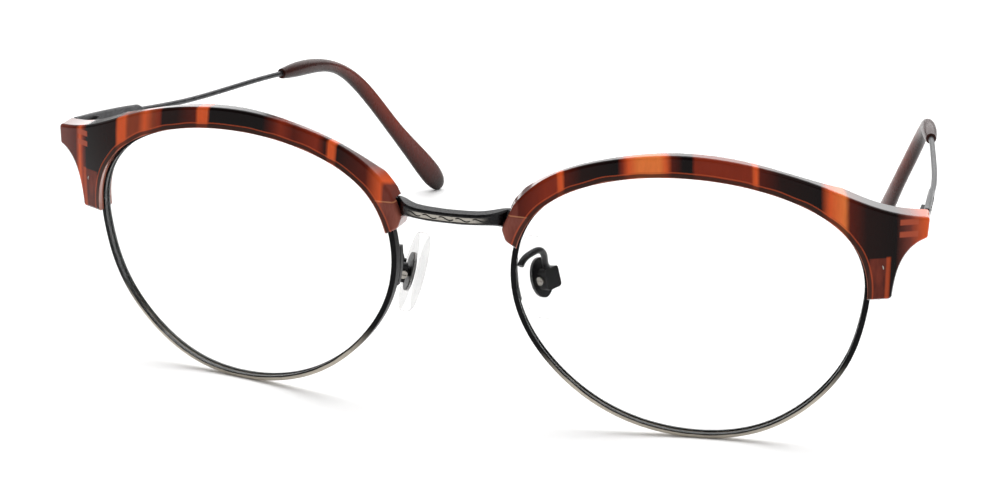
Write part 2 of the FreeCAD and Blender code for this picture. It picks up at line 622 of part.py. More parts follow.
def make_pad_box():
    """A channel that straddles the tab of the pad."""
    block = box(Vector(-BOX_HALF_WIDTH, -BOX_HALF_LENGTH, BOX_BOTTOM),
                Vector(BOX_HALF_WIDTH, BOX_HALF_LENGTH, BOX_TOP))
    block = block.makeFillet(BOX_ROUNDING, edges_parallel(block, AXIS_Z))
    slot = box(Vector(-BOX_SLOT_HALF_WIDTH, -BOX_HALF_LENGTH, BOX_BOTTOM),
               Vector(BOX_SLOT_HALF_WIDTH, BOX_HALF_LENGTH, BOX_SLOT_TOP))
    return block.cut(slot).cut(pad_axis_rod(PAD_SCREW_RADIUS, -BOX_HALF_WIDTH, BOX_HALF_WIDTH))


def edges_parallel(shape, axis):
    return [edge for edge in shape.Edges
            if abs(edge.tangentAt(edge.FirstParameter).dot(axis)) > 0.999]


def make_pad_strip():
    """The foot of the pad arm, soldered along the back of the rim (lens frame)."""
    ring = curved_plate(rim_outline(RIM_HALF_WIDTH), RIM_HALF_DEPTH,
                        RIM_HALF_DEPTH + PAD_STRIP_DEPTH).cut(prism(rim_outline(-RIM_HALF_WIDTH)))
    return ring.common(box(Vector(-FAR, -REACH, PAD_STRIP_BOTTOM), Vector(0, REACH, PAD_STRIP_TOP)))


def make_pad_arm(pad_box, eyewire, lift):
    """The wire rises out of its foot, loops back and comes down into the box of the pad."""
    box_end = pad_to_front(Part.Vertex(0, BOX_HALF_LENGTH - PAD_WIRE_BITE, BOX_TOP - PAD_WIRE_BITE),
                           lift).Point
    last = len(PAD_WIRE_PATH)
    points = [point + AXIS_Z * lift * index / last for index, point in enumerate(PAD_WIRE_PATH)]
    wire = swept_rod(points + [box_end], PAD_WIRE_RADIUS)
    arm = lens_to_front(make_pad_strip()).fuse(wire)
    return arm.cut(pad_box).cut(eyewire).removeSplitter()


def make_pad_assembly(eyewire, lift):
    pieces = {"pad_box": pad_to_front(make_pad_box(), lift)}
    pieces["pad_arm"] = make_pad_arm(pieces["pad_box"], eyewire, lift)
    pieces["pad_screw"] = pad_to_front(make_pad_screw(), lift)
    pieces["pad_core"] = pad_to_front(make_pad_core(), lift)
    pieces["nose_pad"] = pad_to_front(make_nose_pad(), lift)
    return pieces


# ---- Assembly ----------------------------------------------------------------------------------
def make_side():
    """The wearer's left side without its nose pad, in the front frame, keyed by node name."""
    lock_bottom = RIM_SPLIT_Z - LOCK_HEIGHT
    lock_top = RIM_SPLIT_Z + LOCK_HEIGHT
    hinge_front = make_hinge_front()
    brow = make_brow(front_to_lens(hinge_front), front_to_lens(make_bridge_bar()))
    temple_path = spline_edge(list(TEMPLE_PATH))
    temple_arm = make_temple_arm(temple_path)
    return {
        "brow": lens_to_front(brow),
        "eyewire": lens_to_front(make_eyewire()),
        "lens": lens_to_front(make_lens()),
        "rim_lock_upper": lens_to_front(make_lock_block(RIM_SPLIT_Z + RIM_SPLIT / 2, lock_top)),
        "rim_lock_lower": lens_to_front(make_lock_block(lock_bottom, RIM_SPLIT_Z - RIM_SPLIT / 2)),
        "rim_lock_screw": lens_to_front(make_lock_screw()),
        "brow_bracket": lens_to_front(make_bracket()),
        "brow_screws": lens_to_front(Part.makeCompound(make_brow_screws())),
        "hinge_front": hinge_front,
        "hinge_screw": make_hinge_screw(),
        "hinge_temple": make_hinge_temple(temple_arm),
        "temple_arm": temple_arm,
        "temple_tip": make_temple_tip(temple_path, temple_arm),
    }


def make_bridge():
    """The bar and the two plates that carry the nose ends of the brows."""
    plate = make_nose_plate().cut(prism(rim_outline(RIM_HALF_WIDTH)))
    plate = plate.cut(make_brow_screw(NOSE_SCREW_AT, NOSE_PLATE_FRONT_Y, NOSE_PLATE_REAR_Y))
    plate = lens_to_front(plate)
    rim_space = lens_to_front(prism(rim_outline(RIM_HALF_WIDTH)))
    screw_space = lens_to_front(make_brow_screws()[1])
    bar = make_bridge_bar()
    for space in (rim_space, screw_space):
        bar = bar.cut(space).cut(mirrored(space))
    return bar.fuse(plate).fuse(mirrored(plate)).removeSplitter()


def export(name, shape):
    placed = front_to_table(shape)
    solids = placed.Solids
    whole = solids[0] if len(solids) == 1 else Part.makeCompound(solids)
    whole.exportStep(os.path.join("parts", name + ".step"))


def main():
    os.makedirs("parts", exist_ok=True)
    export("bridge", make_bridge())
    side = make_side()
    left = {**side, **make_pad_assembly(side["eyewire"], PAD_LIFT)}
    right = {**side, **make_pad_assembly(side["eyewire"], -PAD_LIFT)}
    for name, shape in left.items():
        export(name + "_left", shape)
    for name, shape in right.items():
        export(name + "_right", mirrored(shape))


main()
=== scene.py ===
import math
import bpy
from mathutils import Matrix, Vector
from mathutils.bvhtree import BVHTree


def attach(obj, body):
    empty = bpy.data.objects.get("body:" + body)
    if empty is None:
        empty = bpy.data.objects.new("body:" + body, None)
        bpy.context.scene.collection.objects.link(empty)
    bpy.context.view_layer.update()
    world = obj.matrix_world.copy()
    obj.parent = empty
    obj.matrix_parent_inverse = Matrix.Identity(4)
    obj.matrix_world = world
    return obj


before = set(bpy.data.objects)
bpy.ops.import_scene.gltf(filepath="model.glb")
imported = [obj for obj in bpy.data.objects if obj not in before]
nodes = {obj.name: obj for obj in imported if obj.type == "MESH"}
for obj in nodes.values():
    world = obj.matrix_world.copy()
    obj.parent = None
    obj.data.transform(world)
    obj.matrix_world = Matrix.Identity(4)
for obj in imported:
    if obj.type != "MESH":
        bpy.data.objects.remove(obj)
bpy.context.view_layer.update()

MM = 0.001
FORWARD_LEAN = math.radians(9.6)       # the front leans forward when the frame stands open
TABLE_SHIFT = Vector((0.0, -58.29, 21.8))
WRAP = math.radians(10.0)              # each lens is turned back at its outer edge
LENS_CENTRE_X = 34.4
RIM_STOPS = 30                         # places around the rim where its radius is measured
STOP_REACH = 0.08                      # share of a stop that a measured vertex may lie off it
SMALLEST_RADIUS = 15.0                 # the rim's radius lies between these two everywhere
LARGEST_RADIUS = 30.0
SIDES = ("left", "right")


def side_sign(side):
    return 1 if side == "left" else -1


# ---- Frames ------------------------------------------------------------------------------------
def front_matrix():
    """From the front's own axes, in millimetres, to the row frame, in metres."""
    place = Matrix.Translation(TABLE_SHIFT * MM) @ Matrix.Rotation(FORWARD_LEAN, 4, "X")
    return place @ Matrix.Scale(MM, 4)


def lens_matrix(side):
    """From the axes of one lens (outwards, backwards, up), in millimetres, to the row frame."""
    mirror = Matrix.Scale(side_sign(side), 4, (1, 0, 0))
    place = Matrix.Translation((LENS_CENTRE_X, 0, 0)) @ Matrix.Rotation(WRAP, 4, "Z")
    return front_matrix() @ mirror @ place


# ---- Shader graph helper -----------------------------------------------------------------------
class Graph:
    """A material and short ways to add its nodes. An input may be a number or a socket."""

    def __init__(self, name):
        self.material = bpy.data.materials.new(name)
        self.material.use_nodes = True
        self.tree = self.material.node_tree
        self.tree.nodes.clear()

    def add(self, kind, **settings):
        node = self.tree.nodes.new("ShaderNode" + kind)
        for name, value in settings.items():
            setattr(node, name, value)
        return node

    def feed(self, socket, value):
        if isinstance(value, bpy.types.NodeSocket):
            self.tree.links.new(value, socket)
        else:
            socket.default_value = value

    def math(self, operation, first, second=0.0):
        node = self.add("Math", operation=operation)
        self.feed(node.inputs[0], first)
        self.feed(node.inputs[1], second)
        return node.outputs[0]

    def fade(self, value, low, high, to_low=0.0, to_high=1.0):
        """value carried smoothly from low..high to to_low..to_high and held outside."""
        node = self.add("MapRange", interpolation_type="SMOOTHSTEP")
        for name, number in (("From Min", low), ("From Max", high), ("To Min", to_low),
                             ("To Max", to_high)):
            node.inputs[name].default_value = number
        self.feed(node.inputs["Value"], value)
        return node.outputs[0]

    def between(self, value, low, high, soft):
        """1 where value lies between low and high, with soft edges."""
        rise = self.fade(value, low - soft, low + soft)
        fall = self.fade(value, high - soft, high + soft, 1.0, 0.0)
        return self.math("MULTIPLY", rise, fall)

    def mix(self, amount, first, second):
        node = self.add("Mix", data_type="RGBA")
        self.feed(node.inputs["Factor"], amount)
        self.feed(node.inputs[6], first)
        self.feed(node.inputs[7], second)
        return node.outputs[2]

    def ramp(self, value, stops, interpolation="LINEAR"):
        """stops are (place from 0 to 1, colour)."""
        node = self.add("ValToRGB")
        ramp = node.color_ramp
        ramp.interpolation = interpolation
        while len(ramp.elements) < len(stops):
            ramp.elements.new(1.0)
        for element, (place, colour) in zip(ramp.elements, stops):
            element.position = place
            element.color = colour
        self.feed(node.inputs[0], value)
        return node.outputs[0]

    def place(self):
        return self.add("TexCoord").outputs["Object"]

    def millimetres(self):
        """The point being shaded in the row frame, in millimetres."""
        return self.stretched(self.place(), (1 / MM, 1 / MM, 1 / MM))

    def local(self, matrix):
        """The point being shaded in the axes that matrix carries to the row frame."""
        inverse = matrix.inverted()
        scale = inverse.to_scale()
        if inverse.determinant() < 0:
            scale = Vector((-abs(scale.x), abs(scale.y), abs(scale.z)))
        turn = (inverse.to_3x3() @ Matrix.Diagonal(Vector([1 / s for s in scale]))).to_euler("XYZ")
        node = self.add("Mapping", vector_type="POINT")
        node.inputs["Scale"].default_value = scale
        node.inputs["Rotation"].default_value = turn
        node.inputs["Location"].default_value = inverse.to_translation()
        self.feed(node.inputs["Vector"], self.place())
        return node.outputs[0]

    def split(self, vector):
        node = self.add("SeparateXYZ")
        self.feed(node.inputs[0], vector)
        return node.outputs[0], node.outputs[1], node.outputs[2]

    def stretched(self, vector, scale):
        node = self.add("Mapping")
        node.inputs["Scale"].default_value = scale
        self.feed(node.inputs["Vector"], vector)
        return node.outputs[0]

    def noise(self, vector, scale, detail=3.0, roughness=0.5, centred=False):
        node = self.add("TexNoise")
        node.inputs["Scale"].default_value = scale
        node.inputs["Detail"].default_value = detail
        node.inputs["Roughness"].default_value = roughness
        self.feed(node.inputs["Vector"], vector)
        value = node.outputs["Fac"]
        return self.math("SUBTRACT", value, 0.5) if centred else value

    def bump(self, height, distance, strength=1.0):
        node = self.add("Bump")
        node.inputs["Distance"].default_value = distance
        node.inputs["Strength"].default_value = strength
        self.feed(node.inputs["Height"], height)
        return node.outputs[0]

    def finish(self, **inputs):
        """Closes the material with a Principled shader; input names use _ for a space."""
        shader = self.add("BsdfPrincipled")
        for name, value in inputs.items():
            self.feed(shader.inputs[name.replace("_", " ")], value)
        output = self.add("OutputMaterial")
        self.tree.links.new(shader.outputs[0], output.inputs["Surface"])
        return self.material


def colour(code):
    """A linear colour from a web colour code."""
    parts = [int(code[i:i + 2], 16) / 255 for i in (1, 3, 5)]
    linear = [c / 12.92 if c <= 0.04045 else ((c + 0.055) / 1.055) ** 2.4 for c in parts]
    return (*linear, 1.0)


# ---- Shape of the rim, measured from the CAD ---------------------------------------------------
def rim_radii(side):
    """Middle radius of the rim wire at equal angles, from the outer end of the horizontal, over."""
    to_lens = lens_matrix(side).inverted()
    found = [[] for _ in range(RIM_STOPS)]
    for vertex in nodes["eyewire_" + side].data.vertices:
        point = to_lens @ vertex.co
        turn = math.atan2(point.z, point.x) / (2 * math.pi) * RIM_STOPS
        if abs(turn - round(turn)) < STOP_REACH:
            found[round(turn) % RIM_STOPS].append(math.hypot(point.x, point.z))
    return [(min(radii) + max(radii)) / 2 for radii in found]


def around_lens(graph, outward, up):
    """How far round the lens the point lies, from 0 to 1, starting outwards and going up."""
    return graph.math("FRACT", graph.math("DIVIDE", graph.math("ARCTAN2", up, outward), 2 * math.pi))


def distance_from_rim(graph, side, outward, up):
    """How far the point lies outside the middle of the rim wire."""
    span = LARGEST_RADIUS - SMALLEST_RADIUS
    radii = rim_radii(side)
    levels = [(radius - SMALLEST_RADIUS) / span for radius in radii + radii[:1]]
    stops = [(index / RIM_STOPS, (level, level, level, 1)) for index, level in enumerate(levels)]
    level = graph.ramp(around_lens(graph, outward, up), stops, "CARDINAL")
    rim = graph.math("ADD", graph.math("MULTIPLY", level, span), SMALLEST_RADIUS)
    radius = graph.math("SQRT", graph.math("ADD", graph.math("MULTIPLY", outward, outward),
                                           graph.math("MULTIPLY", up, up)))
    return graph.math("SUBTRACT", radius, rim)


# ---- Acetate brows -----------------------------------------------------------------------------
BAND_START = -30.0            # first and last place of the colour bands, outwards from the lens centre
BAND_END = 35.0
BLACK = colour("#0e0505")
DARK = colour("#200b08")
DEEP_RED = colour("#561709")
BRICK = colour("#842a14")
ROSE = colour("#74362b")
BROWN = colour("#8a3a20")
ORANGE = colour("#dc5a2a")
AMBER = colour("#ec7c3c")
PEACH = colour("#f0a878")
BANDS = {
    "left": ((-30.0, ROSE), (-25.2, ROSE), (-24.9, DEEP_RED), (-21.0, BRICK), (-19.6, BRICK),
             (-19.3, ORANGE), (-18.7, ORANGE), (-18.4, DEEP_RED), (-16.0, DARK), (-10.9, BLACK),
             (-10.2, BRICK), (-9.4, ORANGE), (-8.0, AMBER), (-5.0, AMBER), (-4.2, ORANGE),
             (-3.4, DEEP_RED), (-1.8, BLACK), (-0.5, BLACK), (-0.1, BRICK), (7.8, BRICK),
             (8.2, ORANGE), (8.7, ORANGE), (9.0, DEEP_RED), (12.0, DARK), (17.8, BLACK),
             (19.0, ORANGE), (21.2, AMBER), (22.0, DEEP_RED), (24.5, DARK), (28.9, BLACK),
             (31.0, ROSE), (33.6, ORANGE)),
    "right": ((-30.0, ROSE), (-24.9, ROSE), (-24.5, ORANGE), (-22.3, DEEP_RED), (-17.8, DARK),
              (-17.4, ORANGE), (-16.5, ORANGE), (-16.2, BLACK), (-14.6, BRICK), (-11.0, DEEP_RED),
              (-9.0, BRICK), (-7.6, DEEP_RED), (-6.0, BLACK), (3.1, BLACK), (3.5, ORANGE),
              (5.1, ORANGE), (5.5, DEEP_RED), (9.0, DARK), (11.7, DARK), (12.2, BRICK),
              (13.4, BROWN), (15.0, ORANGE), (16.4, BROWN), (18.4, BROWN), (19.0, ORANGE),
              (20.4, ORANGE), (21.0, DARK), (27.4, BLACK), (28.2, BRICK), (28.9, ORANGE),
              (29.8, DEEP_RED), (34.0, ROSE)),
}
# Distances outside the middle of the rim wire: a painted highlight, a bright line, stands for the light
# that the flat end of the slot carries through the front lip; the rim under it shows as a dark band, and
# the lip's own edge is paler.
SLOT_HIGHLIGHT_LINE = (0.64, 0.82)
RIM_SHADE = (0.02, 0.58)
LIP_EDGE = 0.02
FRONT_DEPTH = (2.2, 3.2)      # the lip is in front of this depth and fades out through it
# The bracket behind the outer leg, seen through the acetate, and a painted highlight along the leg's own
# edge.
BRACKET_SIDES = (25.3, 28.1)
BRACKET_TOP = 8.3
LEG_EDGE_SIDES = (27.7, 28.3)
NOSE_END_SIDE = (-23.6, -23.2)
NOSE_PLATE_TOP = 12.6
# The hinge pins seen through the end piece: outwards from, to, and the heights of the two.
PIN_PLACES = {"left": (29.4, 32.0, (13.5, 11.7)), "right": (27.3, 29.4, (13.9, 12.3))}
PIN_HALF_HEIGHT = 0.42
GLOSS_ANGLES = (0.3, 0.62)    # the polish shows on edges that turn away from the eye


def bands(graph, side, axes, cloud):
    """The sheet's colour bands, a little slanted and wavy, with faint streaks along them."""
    outward, backward, _up = graph.split(axes)
    fine = graph.noise(graph.stretched(axes, (2.4, 2.0, 0.35)), 1.0, 3.0, 0.6, centred=True)
    slant = graph.math("MULTIPLY", backward, 0.25)
    along = graph.math("ADD", graph.math("ADD", outward, slant), graph.math("MULTIPLY", cloud, 0.5))
    span = BAND_END - BAND_START
    share = graph.math("DIVIDE", graph.math("SUBTRACT", along, BAND_START), span)
    banded = graph.ramp(share, [((place - BAND_START) / span, tone) for place, tone in BANDS[side]])
    streaks = graph.math("ADD", fine, graph.math("MULTIPLY", cloud, 0.8))
    tinted = graph.add("HueSaturation")
    graph.feed(tinted.inputs["Color"], banded)
    graph.feed(tinted.inputs["Value"], graph.fade(streaks, -0.4, 0.4, 0.93, 1.05))
    return tinted.outputs[0]


def leg_bracket(graph, body, outward, up, cloud):
    """The bracket behind the leg as a brown patch, and a painted highlight along the leg's edge beside
    it.
    """
    below = graph.fade(up, BRACKET_TOP - 0.1, BRACKET_TOP + 0.1, 1.0, 0.0)
    behind_leg = graph.math("MULTIPLY", graph.between(outward, *BRACKET_SIDES, 0.12), below)
    patch = graph.mix(graph.fade(cloud, -0.2, 0.2), colour("#57231a"), colour("#8a3a28"))
    body = graph.mix(graph.math("MULTIPLY", behind_leg, 0.85), body, patch)
    # Painted highlight: a bright orange line along the leg's edge.
    leg_edge_highlight = graph.math("MULTIPLY", graph.between(outward, *LEG_EDGE_SIDES, 0.15),
                          graph.fade(up, BRACKET_TOP, BRACKET_TOP + 0.3, 1.0, 0.0))
    return graph.mix(graph.math("MULTIPLY", leg_edge_highlight, 0.45), body, ORANGE)


def nose_end(graph, body, outward, up, cloud):
    """The clearer end below the bridge plate: dusky rose, mottled by the plate behind it, under a thin
    bright line that is a painted highlight along the plate's edge."""
    inner = graph.fade(outward, *NOSE_END_SIDE, 1.0, 0.0)
    under_plate = graph.fade(up, NOSE_PLATE_TOP - 0.2, NOSE_PLATE_TOP, 1.0, 0.0)
    below = graph.math("MULTIPLY", inner, under_plate)
    mottled = graph.mix(graph.fade(cloud, -0.2, 0.2), colour("#6d352b"), colour("#9a5c4e"))
    body = graph.mix(graph.math("MULTIPLY", below, 0.85), body, mottled)
    # Painted highlight: a thin peach line along the edge of the bridge plate.
    plate_edge_highlight = graph.between(up, NOSE_PLATE_TOP, NOSE_PLATE_TOP + 0.2, 0.08)
    line = graph.math("MULTIPLY", inner, plate_edge_highlight)
    return graph.mix(graph.math("MULTIPLY", line, 0.4), body, PEACH)


def anchor_pins(graph, body, side, outward, up):
    """The two pins of the hinge's anchor plate, seen through the end piece."""
    inner, outer, levels = PIN_PLACES[side]
    for level in levels:
        height = graph.between(up, level - PIN_HALF_HEIGHT, level + PIN_HALF_HEIGHT, 0.1)
        pin = graph.math("MULTIPLY", graph.between(outward, inner, outer, 0.12), height)
        body = graph.mix(graph.math("MULTIPLY", pin, 0.8), body, colour("#b8553a"))
    return body


def front_lip(graph, body, backward, from_rim):
    """What the lip in front of the rim shows: the rim's shade, a painted highlight along the slot's line
    and its own edge.
    """
    in_front = graph.fade(backward, *FRONT_DEPTH, 1.0, 0.0)
    shade = graph.math("MULTIPLY", graph.between(from_rim, *RIM_SHADE, 0.06), in_front)
    body = graph.mix(graph.math("MULTIPLY", shade, 0.85), body, colour("#3a2119"))
    # Painted highlight: a bright orange line where the slot's flat end carries light through the lip.
    line = graph.math("MULTIPLY", graph.between(from_rim, *SLOT_HIGHLIGHT_LINE, 0.05), in_front)
    body = graph.mix(graph.math("MULTIPLY", line, 0.55), body, colour("#c4532e"))
    edge = graph.fade(from_rim, LIP_EDGE - 0.06, LIP_EDGE + 0.06, 1.0, 0.0)
    return graph.mix(graph.math("MULTIPLY", edge, 0.7), body, colour("#c07a66"))


def acetate_material(side):
    """Polished tortoiseshell sheet, with what lies behind it seen through its thin places, and painted
    highlights along the edges buried in it.
    """
    graph = Graph("tortoise_" + side)
    axes = graph.local(lens_matrix(side))
    outward, backward, up = graph.split(axes)
    cloud = graph.noise(graph.stretched(axes, (0.35, 0.6, 0.10)), 1.0, 4.0, 0.6, centred=True)
    body = bands(graph, side, axes, cloud)
    body = leg_bracket(graph, body, outward, up, cloud)
    body = nose_end(graph, body, outward, up, cloud)
    body = anchor_pins(graph, body, side, outward, up)
    body = front_lip(graph, body, backward, distance_from_rim(graph, side, outward, up))
    grain = graph.noise(graph.stretched(axes, (4.0, 4.0, 4.0)), 1.0, 4.0, 0.6)
    scratches = graph.noise(graph.stretched(axes, (1.2, 9.0, 14.0)), 1.0, 2.0, 0.5)
    roughness = graph.fade(graph.math("MULTIPLY", grain, scratches), 0.1, 0.5, 0.06, 0.2)
    facing = graph.add("LayerWeight")
    facing.inputs["Blend"].default_value = 0.5
    gloss = graph.fade(facing.outputs["Facing"], *GLOSS_ANGLES)
    return graph.finish(Base_Color=body, Roughness=roughness, IOR=1.46, Specular_IOR_Level=0.12,
                        Coat_Weight=gloss, Coat_IOR=1.9, Coat_Roughness=0.08,
                        Normal=graph.bump(scratches, 0.000012, 0.35))


# ---- Metals ------------------------------------------------------------------------------------
GUNMETAL = colour("#151516")
GUNMETAL_LIGHT = colour("#2a2a2b")
ANTIQUE_SILVER = colour("#b7afa2")
SILVER_ARC_START = (200.0, 222.0)      # degrees round the lens where the rubbed silver fades in
SILVER_ARC_END = (318.0, 340.0)


def brushed(graph, axes, fineness):
    """Fine brushing, drawn out along the axis whose fineness is smallest."""
    return graph.noise(graph.stretched(axes, fineness), 1.0, 3.0, 0.65)


def eyewire_material(side):
    """Black wire; the front and outer faces are rubbed to antique silver along the bottom."""
    graph = Graph("eyewire_" + side)
    axes = graph.local(lens_matrix(side))
    outward, _backward, up = graph.split(axes)
    angle = graph.math("MULTIPLY", around_lens(graph, outward, up), 360.0)
    bottom = graph.math("MULTIPLY", graph.fade(angle, *SILVER_ARC_START),
                        graph.fade(angle, *SILVER_ARC_END, 1.0, 0.0))
    face = graph.fade(distance_from_rim(graph, side, outward, up), -0.25, -0.08)
    lines = brushed(graph, axes, (3.0, 9.0, 3.0))
    blotches = graph.noise(axes, 0.5, 3.0, 0.6)
    rubbed = graph.math("MULTIPLY", graph.math("MULTIPLY", bottom, face),
                        graph.fade(blotches, 0.2, 0.5, 0.75, 1.0))
    black = graph.mix(graph.fade(lines, 0.3, 0.7), GUNMETAL, colour("#0c0c0d"))
    tone = graph.mix(rubbed, black, ANTIQUE_SILVER)
    roughness = graph.fade(lines, 0.3, 0.7, 0.3, 0.48)
    return graph.finish(Base_Color=tone, Metallic=0.9, Roughness=roughness,
                        Normal=graph.bump(lines, 0.00002, 0.5))


def gunmetal_material(name, base, light, rough):
    """Satin metal, brushed and clouded between two tones and two roughnesses."""
    graph = Graph(name)
    axes = graph.millimetres()
    lines = brushed(graph, axes, (5.0, 0.8, 5.0))
    blotches = graph.noise(axes, 0.45, 3.0, 0.6)
    tone = graph.mix(graph.fade(graph.math("ADD", lines, blotches), 0.8, 1.3), base, light)
    roughness = graph.fade(lines, 0.3, 0.7, *rough)
    return graph.finish(Base_Color=tone, Metallic=0.9, Roughness=roughness,
                        Normal=graph.bump(lines, 0.00002, 0.5))


def bridge_material():
    """Gunmetal, rubbed to antique silver in the middle of the panel between the border lines."""
    graph = Graph("bridge_metal")
    axes = graph.local(front_matrix())
    across, _backward, up = graph.split(axes)
    lines = brushed(graph, axes, (1.2, 6.0, 9.0))
    panel = graph.between(up, BRIDGE_MIDDLE_Z - BRIDGE_BORDER, BRIDGE_MIDDLE_Z + BRIDGE_BORDER, 0.06)
    middle = graph.math("MULTIPLY", graph.between(across, *BRIDGE_SILVER, 1.4), panel)
    worn = graph.math("MULTIPLY", middle, graph.fade(lines, 0.2, 0.6, 0.7, 1.0))
    dark = graph.mix(graph.fade(lines, 0.3, 0.7), GUNMETAL, colour("#29292a"))
    tone = graph.mix(worn, dark, colour("#a8a39a"))
    roughness = graph.fade(lines, 0.3, 0.7, 0.22, 0.4)
    return graph.finish(Base_Color=tone, Metallic=0.92, Roughness=roughness,
                        Normal=graph.bump(lines, 0.00003, 0.5))


def steel_material():
    """Bright screws with fine turning marks."""
    graph = Graph("bright_steel")
    axes = graph.millimetres()
    turned = graph.noise(graph.stretched(axes, (8.0, 2.0, 8.0)), 1.0, 3.0, 0.6)
    tone = graph.mix(turned, colour("#6d6a66"), colour("#bdb8b0"))
    return graph.finish(Base_Color=tone, Metallic=1.0, Roughness=graph.fade(turned, 0.3, 0.7, 0.15, 0.35),
                        Normal=graph.bump(turned, 0.00002, 0.4))


# ---- Clear parts -------------------------------------------------------------------------------
def lens_material():
    """A clear lens: almost nothing but its reflection, partly the shader's own and partly a painted
    reflection in its white colour, with the faintest dust.
    """
    graph = Graph("clear_lens")
    axes = graph.millimetres()
    dust = graph.noise(axes, 1.4, 4.0, 0.7)
    facing = graph.add("LayerWeight")
    facing.inputs["Blend"].default_value = 0.25
    # Painted reflection: the white colour grows more opaque as the lens turns edge on.
    alpha = graph.fade(facing.outputs["Fresnel"], 0.0, 1.0, 0.004, 0.12)
    return graph.finish(Base_Color=graph.mix(dust, colour("#eef4f4"), colour("#ffffff")), Alpha=alpha,
                        Roughness=graph.fade(dust, 0.4, 0.8, 0.0, 0.03), IOR=1.5)


def pad_material():
    """Clear silicone with a soft milky core, more opaque and grey where it is seen edge on: a painted
    reflection at its edges.
    """
    graph = Graph("clear_silicone")
    axes = graph.millimetres()
    cloud = graph.noise(axes, 0.7, 4.0, 0.6)
    facing = graph.add("LayerWeight")
    facing.inputs["Blend"].default_value = 0.35
    edge_on = graph.math("POWER", facing.outputs["Facing"], 2.0)
    alpha = graph.math("ADD", graph.fade(edge_on, 0.1, 0.7, 0.06, 0.9),
                       graph.fade(cloud, 0.3, 0.7, 0.0, 0.03))
    # Painted reflection: seen edge on, the silicone turns grey.
    tone = graph.mix(edge_on, colour("#dddbd8"), colour("#6f6c6a"))
    return graph.finish(Base_Color=tone, Alpha=alpha, IOR=1.43,
                        Roughness=graph.fade(cloud, 0.3, 0.7, 0.12, 0.25))


# ---- Ear tips ----------------------------------------------------------------------------------
TIP_BOTTOM = -48.0            # height of the tip's colours' lowest stop, in the front's axes
TIP_RISE = 50.0
TIP_DRIFT = 14.0              # how far the colours wander up and down


def tip_material(side):
    """Dark brown acetate with a reddish translucent streak down its length, and painted shade on the
    faces that turn downwards.
    """
    graph = Graph("tip_" + side)
    axes = graph.local(front_matrix())
    _across, _backward, up = graph.split(axes)
    drift = graph.noise(graph.stretched(axes, (0.12, 0.05, 0.05)), 1.0, 3.0, 0.5, centred=True)
    grain = graph.noise(graph.stretched(axes, (1.6, 0.4, 0.4)), 1.0, 4.0, 0.6, centred=True)
    level = graph.math("ADD", up, graph.math("MULTIPLY", drift, TIP_DRIFT))
    stops = ((0.0, colour("#231613")), (0.16, colour("#2b1a16")), (0.30, colour("#5e1d10")),
             (0.52, colour("#7c2a17")), (0.74, colour("#6a2415")), (0.86, colour("#3e1912")),
             (1.0, colour("#2a1310")))
    share = graph.math("DIVIDE", graph.math("SUBTRACT", level, TIP_BOTTOM), TIP_RISE)
    banded = graph.ramp(share, stops)
    # Painted shade: faces that turn downwards are darkened towards near black.
    facing_up = graph.split(graph.add("TexCoord").outputs["Normal"])[2]
    core = graph.mix(graph.fade(facing_up, -0.85, 0.25), colour("#1f100d"), banded)
    tone = graph.mix(graph.fade(grain, -0.3, 0.3, 0.0, 0.3), core, colour("#150b09"))
    return graph.finish(Base_Color=tone, IOR=1.45, Specular_IOR_Level=0.25,
                        Roughness=graph.fade(grain, -0.3, 0.3, 0.2, 0.35),
                        Normal=graph.bump(grain, 0.00003, 0.3))


# ---- Engraving ---------------------------------------------------------------------------------
WAVE_LENGTH = 2.5
WAVE_HEIGHT = 0.22
WAVE_STEPS = 14
ENGRAVED_LINE = 0.09          # radius of the engraved lines, half of it sunk into the metal
BRIDGE_WAVES = 5
BRIDGE_MIDDLE_Z = 12.25
BRIDGE_BORDER = 0.47          # the border lines, above and below the middle of the bar
BRIDGE_ENGRAVED_REACH = 6.4
TEMPLE_WAVES = 5
TEMPLE_WAVES_START = 14.5     # backwards along the flat of the temple
TEMPLE_DROP = -0.255          # fall of the temple's middle line for each millimetre backwards
TEMPLE_LINE_AT_ZERO = 15.23
TEMPLE_OUTSIDE_X = 66.0
CAST_FROM = 20.0              # how far in front of a surface the lines are laid on it from
WAVE_FROM = 0.1               # first and last share of its wave that a lying S shows
WAVE_TO = 0.95
BORDER_STEPS = 40
BRIDGE_SILVER = (-5.2, 5.0)   # the rubbed stretch of the bridge, from the middle


def surface_of(node):
    """The CAD node's mesh as a tree that rays can be cast at."""
    mesh = nodes[node].data
    return BVHTree.FromPolygons([v.co for v in mesh.vertices], [p.vertices for p in mesh.polygons])


def laid_on(surface, points, towards):
    """The points, given in the front's axes, carried along towards until they meet the surface."""
    matrix = front_matrix()
    direction = (matrix.to_3x3() @ Vector(towards)).normalized()
    placed = []
    for point in points:
        start = matrix @ Vector(point) - direction * CAST_FROM * MM
        hit = surface.ray_cast(start, direction)[0]
        if hit is not None:
            placed.append(hit)
    return placed


def wave_points(start, across, length, height):
    """One lying S, from just before its crest to just past its trough."""
    points = []
    for step in range(WAVE_STEPS + 1):
        share = WAVE_FROM + (WAVE_TO - WAVE_FROM) * step / WAVE_STEPS
        points.append(start + across * (share * length)
                      + Vector((0, 0, height * math.sin(2 * math.pi * share))))
    return points


def line_piece(name, strokes, material, body):
    """One piece made of thin round lines that follow the strokes, riding on the body."""
    curve = bpy.data.curves.new(name, "CURVE")
    curve.dimensions = "3D"
    curve.bevel_depth = ENGRAVED_LINE * MM
    curve.bevel_resolution = 3
    curve.use_fill_caps = True
    for stroke in strokes:
        spline = curve.splines.new("POLY")
        spline.points.add(len(stroke) - 1)
        for point, place in zip(spline.points, stroke):
            point.co = (*place, 1.0)
    curve.materials.append(material)
    piece = bpy.data.objects.new(name, curve)
    bpy.context.scene.collection.objects.link(piece)
    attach(piece, body)


